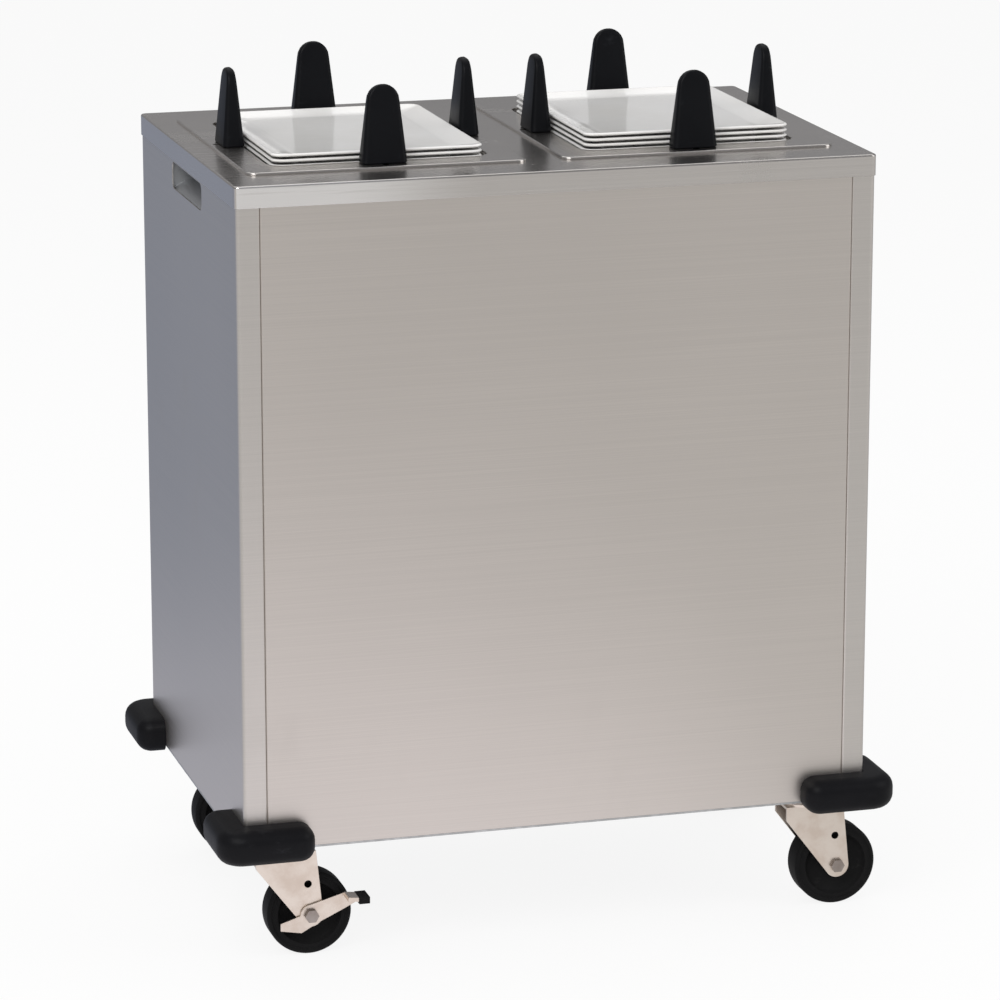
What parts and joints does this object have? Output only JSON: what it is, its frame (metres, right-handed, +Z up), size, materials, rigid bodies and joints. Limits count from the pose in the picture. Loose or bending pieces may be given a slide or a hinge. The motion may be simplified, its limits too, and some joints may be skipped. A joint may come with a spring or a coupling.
{
  "type": "heated plate dispenser",
  "caption": "Rectangular steel cabinet on swivel casters with oblong plate wells sunk in its deck, spring-levelled carriers, upright guide posts, corner bumpers and end hand-holds.",
  "frame": {"origin": "on the floor under the centre of the cabinet", "axes": "+X along the front towards the control end, the front faces -Y, +Z up"},
  "size_m": [0.827, 0.579, 1.0203],
  "materials": {
    "brushed_sheet": "brushed",
    "deck_sheet": "brushed",
    "galvanised_sheet": "satin",
    "zinc_plate": "satin",
    "wheel_rubber": "matte",
    "bumper_rubber": "matte",
    "post_plastic": "matte",
    "slide_plastic": "matte",
    "plate_ceramic": "gloss",
    "spring_steel": "satin",
    "heater_sheath": "matte",
    "bolt_steel": "satin",
    "control_sheet": "brushed",
    "knob_plastic": "gloss",
    "switch_plastic": "satin",
    "lamp_lens": "gloss",
    "thermostat_body": "matte",
    "inlet_plastic": "satin",
    "blade_brass": "satin"
  },
  "bodies": {
    "cabinet": {"deck": "deck_sheet", "base_pan": "brushed_sheet", "caster_channels": "galvanised_sheet", "front_panel": "brushed_sheet", "rear_panel": "brushed_sheet", "left_end_panel": "brushed_sheet", "right_end_panel": "brushed_sheet", "hand_hold_pockets": "brushed_sheet", "corner_bumpers": "bumper_rubber", "caster_plates": "zinc_plate", "kingpins": "zinc_plate", "caster_bolts": "bolt_steel", "spring_brackets": "galvanised_sheet", "control_plate": "control_sheet", "thermostats": "thermostat_body", "switch_bodies": "switch_plastic", "pilot_lamps": "lamp_lens", "power_inlet": "inlet_plastic", "inlet_blades": "blade_brass", "panel_screws": "bolt_steel", "well_flange_left": "deck_sheet", "well_sleeve_left": "galvanised_sheet", "heater_left": "heater_sheath", "carrier_springs_left": "spring_steel", "well_flange_right": "deck_sheet", "well_sleeve_right": "galvanised_sheet", "heater_right": "heater_sheath", "carrier_springs_right": "spring_steel"},
    "carrier_left": {"carrier_left": "galvanised_sheet", "carrier_slides_left": "slide_plastic", "plates_left": "plate_ceramic"},
    "guide_post_left_front": {"guide_post_left_front": "post_plastic"},
    "guide_post_left_rear": {"guide_post_left_rear": "post_plastic"},
    "guide_post_left_left": {"guide_post_left_left": "post_plastic"},
    "guide_post_left_right": {"guide_post_left_right": "post_plastic"},
    "thermostat_knob_left": {"thermostat_knob_left": "knob_plastic"},
    "switch_rocker_left": {"switch_rocker_left": "switch_plastic"},
    "carrier_right": {"carrier_right": "galvanised_sheet", "carrier_slides_right": "slide_plastic", "plates_right": "plate_ceramic"},
    "guide_post_right_front": {"guide_post_right_front": "post_plastic"},
    "guide_post_right_rear": {"guide_post_right_rear": "post_plastic"},
    "guide_post_right_left": {"guide_post_right_left": "post_plastic"},
    "guide_post_right_right": {"guide_post_right_right": "post_plastic"},
    "thermostat_knob_right": {"thermostat_knob_right": "knob_plastic"},
    "switch_rocker_right": {"switch_rocker_right": "switch_plastic"},
    "caster_front_left": {"fork_front_left": "zinc_plate", "axle_front_left": "bolt_steel"},
    "wheel_front_left": {"wheel_front_left": "wheel_rubber"},
    "brake_lever_front_left": {"brake_lever_front_left": "zinc_plate"},
    "caster_front_right": {"fork_front_right": "zinc_plate", "axle_front_right": "bolt_steel"},
    "wheel_front_right": {"wheel_front_right": "wheel_rubber"},
    "caster_rear_left": {"fork_rear_left": "zinc_plate", "axle_rear_left": "bolt_steel"},
    "wheel_rear_left": {"wheel_rear_left": "wheel_rubber"},
    "brake_lever_rear_left": {"brake_lever_rear_left": "zinc_plate"},
    "caster_rear_right": {"fork_rear_right": "zinc_plate", "axle_rear_right": "bolt_steel"},
    "wheel_rear_right": {"wheel_rear_right": "wheel_rubber"}
  },
  "joints": [
    {"name": "carrier_left_lift", "type": "slide", "parent": "cabinet", "child": "carrier_left", "axis": [0, 0, -1], "range_m": [0, 0.45], "stiffness_N_per_m": 1240, "springref_m": -0.09, "deforming": ["carrier_springs_left"]},
    {"name": "guide_post_left_front_set", "type": "slide", "parent": "cabinet", "child": "guide_post_left_front", "axis": [0, -1, 0], "range_m": [0, 0.014]},
    {"name": "guide_post_left_rear_set", "type": "slide", "parent": "cabinet", "child": "guide_post_left_rear", "axis": [0, 1, 0], "range_m": [0, 0.014]},
    {"name": "guide_post_left_left_set", "type": "slide", "parent": "cabinet", "child": "guide_post_left_left", "axis": [-1, 0, 0], "range_m": [0, 0.014]},
    {"name": "guide_post_left_right_set", "type": "slide", "parent": "cabinet", "child": "guide_post_left_right", "axis": [1, 0, 0], "range_m": [0, 0.014]},
    {"name": "thermostat_knob_left_turn", "type": "hinge", "parent": "cabinet", "child": "thermostat_knob_left", "pos_m": [0.381, -0.092, 0.77], "axis": [-1, 0, 0], "range_deg": [0, 300]},
    {"name": "switch_rocker_left_tip", "type": "hinge", "parent": "cabinet", "child": "switch_rocker_left", "pos_m": [0.381, -0.024, 0.77], "axis": [0, -1, 0], "range_deg": [0, 16]},
    {"name": "carrier_right_lift", "type": "slide", "parent": "cabinet", "child": "carrier_right", "axis": [0, 0, -1], "range_m": [0, 0.45], "stiffness_N_per_m": 1240, "springref_m": -0.09, "deforming": ["carrier_springs_right"]},
    {"name": "guide_post_right_front_set", "type": "slide", "parent": "cabinet", "child": "guide_post_right_front", "axis": [0, -1, 0], "range_m": [0, 0.014]},
    {"name": "guide_post_right_rear_set", "type": "slide", "parent": "cabinet", "child": "guide_post_right_rear", "axis": [0, 1, 0], "range_m": [0, 0.014]},
    {"name": "guide_post_right_left_set", "type": "slide", "parent": "cabinet", "child": "guide_post_right_left", "axis": [-1, 0, 0], "range_m": [0, 0.014]},
    {"name": "guide_post_right_right_set", "type": "slide", "parent": "cabinet", "child": "guide_post_right_right", "axis": [1, 0, 0], "range_m": [0, 0.014]},
    {"name": "thermostat_knob_right_turn", "type": "hinge", "parent": "cabinet", "child": "thermostat_knob_right", "pos_m": [0.381, 0.04, 0.77], "axis": [-1, 0, 0], "range_deg": [0, 300]},
    {"name": "switch_rocker_right_tip", "type": "hinge", "parent": "cabinet", "child": "switch_rocker_right", "pos_m": [0.381, 0.108, 0.77], "axis": [0, -1, 0], "range_deg": [0, 16]},
    {"name": "caster_front_left_swivel", "type": "hinge", "parent": "cabinet", "child": "caster_front_left", "pos_m": [-0.327, -0.195, 0.13], "axis": [0, 0, 1], "continuous": true},
    {"name": "wheel_front_left_roll", "type": "hinge", "parent": "caster_front_left", "child": "wheel_front_left", "pos_m": [-0.292, -0.195, 0.0508], "axis": [0, 1, 0], "continuous": true},
    {"name": "brake_lever_front_left_press", "type": "hinge", "parent": "caster_front_left", "child": "brake_lever_front_left", "pos_m": [-0.292, -0.195, 0.0508], "axis": [0, 1, 0], "range_deg": [0, 16]},
    {"name": "caster_front_right_swivel", "type": "hinge", "parent": "cabinet", "child": "caster_front_right", "pos_m": [0.327, -0.195, 0.13], "axis": [0, 0, 1], "continuous": true},
    {"name": "wheel_front_right_roll", "type": "hinge", "parent": "caster_front_right", "child": "wheel_front_right", "pos_m": [0.362, -0.195, 0.0508], "axis": [0, 1, 0], "continuous": true},
    {"name": "caster_rear_left_swivel", "type": "hinge", "parent": "cabinet", "child": "caster_rear_left", "pos_m": [-0.327, 0.195, 0.13], "axis": [0, 0, 1], "continuous": true},
    {"name": "wheel_rear_left_roll", "type": "hinge", "parent": "caster_rear_left", "child": "wheel_rear_left", "pos_m": [-0.292, 0.195, 0.0508], "axis": [0, 1, 0], "continuous": true},
    {"name": "brake_lever_rear_left_press", "type": "hinge", "parent": "caster_rear_left", "child": "brake_lever_rear_left", "pos_m": [-0.292, 0.195, 0.0508], "axis": [0, 1, 0], "range_deg": [0, 16]},
    {"name": "caster_rear_right_swivel", "type": "hinge", "parent": "cabinet", "child": "caster_rear_right", "pos_m": [0.327, 0.195, 0.13], "axis": [0, 0, 1], "continuous": true},
    {"name": "wheel_rear_right_roll", "type": "hinge", "parent": "caster_rear_right", "child": "wheel_rear_right", "pos_m": [0.362, 0.195, 0.0508], "axis": [0, 1, 0], "continuous": true}
  ]
}
